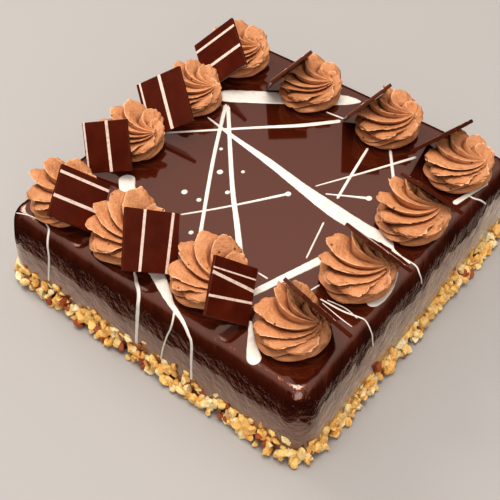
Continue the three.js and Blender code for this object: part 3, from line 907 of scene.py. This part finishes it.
def makeRosette(number, x, y, size, turned, material):
    rng = random.Random(number * 13 + 5)
    bm = bmesh.new()
    bm.verts.layers.int.new("point")
    bm.verts.layers.float.new("crest")
    phase = rng.uniform(0, 2 * math.pi)
    points = starPoints(rng, rosette["lapFlutes"], rosette["lapDepth"])
    pipeRings(bm, points, lapPlaces(points, rng, phase))
    points = starPoints(rng, rosette["flutes"], rosette["depth"])
    pipeRings(bm, points, swirlPlaces(points, rng, phase))
    crest = bm.verts.layers.float["crest"]
    for edge in bm.edges:
        # the lips, where the painted lip highlight is full, are crisp
        edge.smooth = min(edge.verts[0][crest], edge.verts[1][crest]) < 0.99
    spread = rosette["facingSpread"]
    facing = math.radians(rosette["facing"] + turned + rng.uniform(-spread, spread))
    bmesh.ops.rotate(bm, verts=bm.verts, matrix=Matrix.Rotation(facing, 3, "Z"))
    bmesh.ops.scale(bm, vec=(size, size, size), verts=bm.verts)
    bmesh.ops.translate(bm, vec=(x, y, cake["height"]), verts=bm.verts)
    pressBehind(bm, *plaqueSeats[number - 1])
    bmesh.ops.recalc_face_normals(bm, faces=bm.faces)
    finishPiece(bm, "swirl_%02d" % number, [material], "rosette_%02d" % number)


buttercream = makeButtercream()
for number, (x, y, size, turned) in enumerate(rosettePlaces, 1):
    makeRosette(number, x, y, size, turned, buttercream)
print("the rosettes are piped")


nuts = {
    "pale": "#fff0c2",
    "gold": "#fdd485",
    "toast": "#eaae5c",
    "skin": "#a5552a",
    "grain": "#d6b284",  # shade in the grain of the broken flesh
    "grainDepth": 0.3,   # mm
    "roughness": 0.55,
    # the chips, which are a few shapes used again and again
    "shapes": 24,
    "knocks": (3, 5),    # flat sides of each, at least and at most
    "cut": (0.3, 0.75),  # how far from the middle each lies, in parts of the radius
    "length": (1.1, 1.6),
    "width": (0.8, 1.1),
    "thick": (0.5, 0.9),
    "size": (2.0, 4.2),  # radius in mm before they are stretched
    # the bank that they make
    "count": 1050,
    "height": 21.0,      # mm up the walls
    "lower": 0.2,        # part of that height that it lacks on the right
    "uneven": 0.22,      # part of it that its top wanders
    "foot": 8.5,         # mm out of the wall at the floor
    "onward": 0.618034,  # part of the way round to the next chip, which never falls into step
    "strewn": 3.0,       # mm either way
    "turn": 6.3,         # radians, a full turn
    "skinned": 0.95,     # draws above this kept their skin
    "lift": 0.15,        # mm above the floor
    "seed": 41,
}


def makeNutMaterial():
    # roasted chopped nuts: matt broken flesh, darker where it toasted or kept its skin
    material, tree, shader = newMaterial("choppedRoastedNut")
    place = addNode(tree, "ShaderNodeTexCoord").outputs["Object"]
    tint = addNode(tree, "ShaderNodeAttribute", {"attribute_name": "tint"}).outputs["Fac"]
    tone = addNode(tree, "ShaderNodeValToRGB", {
        "stops": [(0.0, nuts["pale"]), (0.35, nuts["gold"]), (0.75, nuts["toast"]), (1.0, nuts["skin"])],
    }, {"Fac": tint})
    # grain of the broken flesh, about 1.2 mm, so 800 to the metre
    grain = addNode(tree, "ShaderNodeTexNoise", {"Scale": 800.0, "Detail": 3.0}, {"Vector": place})
    shade = addNode(tree, "ShaderNodeValToRGB", {"stops": [(0.3, nuts["grain"]), (0.6, "#ffffff")]},
                    {"Fac": grain.outputs["Fac"]})
    mixed = addNode(tree, "ShaderNodeMix", {"data_type": "RGBA", "blend_type": "MULTIPLY", 0: 0.5},
                    {6: tone.outputs["Color"], 7: shade.outputs["Color"]})
    tree.links.new(mixed.outputs[2], shader.inputs["Base Color"])
    bump = addNode(tree, "ShaderNodeBump", {"Strength": 0.4, "Distance": nuts["grainDepth"] * mm},
                   {"Height": grain.outputs["Fac"]})
    tree.links.new(bump.outputs["Normal"], shader.inputs["Normal"])
    setShader(shader, {"Roughness": nuts["roughness"], "IOR": 1.47, "Subsurface Weight": 0.15,
                       "Subsurface Radius": (1.0, 0.6, 0.3), "Subsurface Scale": mm})
    return material


def rimPlace(distance):
    # a place on the cake's rim, a distance along it, and the way out of the wall there
    radius = cake["cornerRadius"]
    straightX = cake["lengthX"] - 2 * radius
    straightY = cake["lengthY"] - 2 * radius
    bend = radius * math.pi / 2
    left = distance % rimLength
    corner = Vector((-straightX / 2, -straightY / 2, 0))
    heading = 0.0
    for length in (straightX, straightY, straightX, straightY):
        run = Vector((math.cos(heading), math.sin(heading), 0))
        out = Vector((run.y, -run.x, 0))
        if left <= length:
            return corner + run * left + out * radius, out
        left -= length
        corner = corner + run * length
        if left <= bend:
            angle = heading - math.pi / 2 + left / radius
            out = Vector((math.cos(angle), math.sin(angle), 0))
            return corner + out * radius, out
        left -= bend
        heading += math.pi / 2
    # rounding may leave a hair's breadth over
    return corner, Vector((0, -1, 0))


def makeNibShapes(rng):
    # broken pieces: a rough or a finer ball by turns, knocked flat on a few sides
    shapes = []
    for i in range(nuts["shapes"]):
        bm = bmesh.new()
        bmesh.ops.create_icosphere(bm, subdivisions=2 if i % 2 else 1, radius=1.0)
        for knock in range(rng.randint(*nuts["knocks"])):
            way = Vector([rng.gauss(0, 1) for axis in range(3)]).normalized()
            rim = sliceMesh(bm, way * rng.uniform(*nuts["cut"]), way, clearOuter=True)
            if rim:
                bmesh.ops.contextual_create(bm, geom=rim)
        stretch = [rng.uniform(*nuts[side]) for side in ("length", "width", "thick")]
        bmesh.ops.scale(bm, vec=stretch, verts=bm.verts)
        bmesh.ops.recalc_face_normals(bm, faces=bm.faces)
        mesh = bpy.data.meshes.new("nibShape")
        bm.to_mesh(mesh)
        bm.free()
        shapes.append(mesh)
    return shapes


def makeNuts():
    rng = random.Random(nuts["seed"])
    shapes = makeNibShapes(rng)
    bm = bmesh.new()
    tint = bm.verts.layers.float.new("tint")
    for i in range(nuts["count"]):
        distance = rimLength * nuts["onward"] * i + rng.uniform(-nuts["strewn"], nuts["strewn"])
        place, out = rimPlace(distance)
        size = rng.uniform(*nuts["size"])
        wander = nuts["uneven"] * noise.noise(Vector((distance * 0.05, 3, 0)))
        top = nuts["height"] * (1 - nuts["lower"] * max(0, out.x)) * (1 + wander)
        # more of them lie low than high, and the bank thins out up the wall
        climb = rng.random() ** 1.35
        height = size * 0.55 + climb * (top - size)
        thickness = (nuts["foot"] - size * 0.8) * (1 - climb ** 1.2 * 0.95)
        reach = thickness * rng.uniform(0.55, 1) + size * 0.15
        middle = place + out * reach + Vector((0, 0, height))
        before = len(bm.verts)
        bm.from_mesh(rng.choice(shapes))
        bm.verts.ensure_lookup_table()
        fresh = bm.verts[before:]
        turn = Euler([rng.uniform(0, nuts["turn"]) for axis in range(3)]).to_matrix().to_4x4()
        seat = Matrix.Translation(middle) @ turn @ Matrix.Scale(size, 4)
        shade = rng.random()
        shade = 0.9 + 0.1 * shade if shade > nuts["skinned"] else shade * 0.7
        for vert in fresh:
            vert.co = seat @ vert.co
            vert.co.z = max(vert.co.z, nuts["lift"])
            vert[tint] = shade
    finishPiece(bm, "choppedNuts", [makeNutMaterial()], "gateau", smooth=False)
    for mesh in shapes:
        bpy.data.meshes.remove(mesh)


makeNuts()
print("the nuts are pressed on")
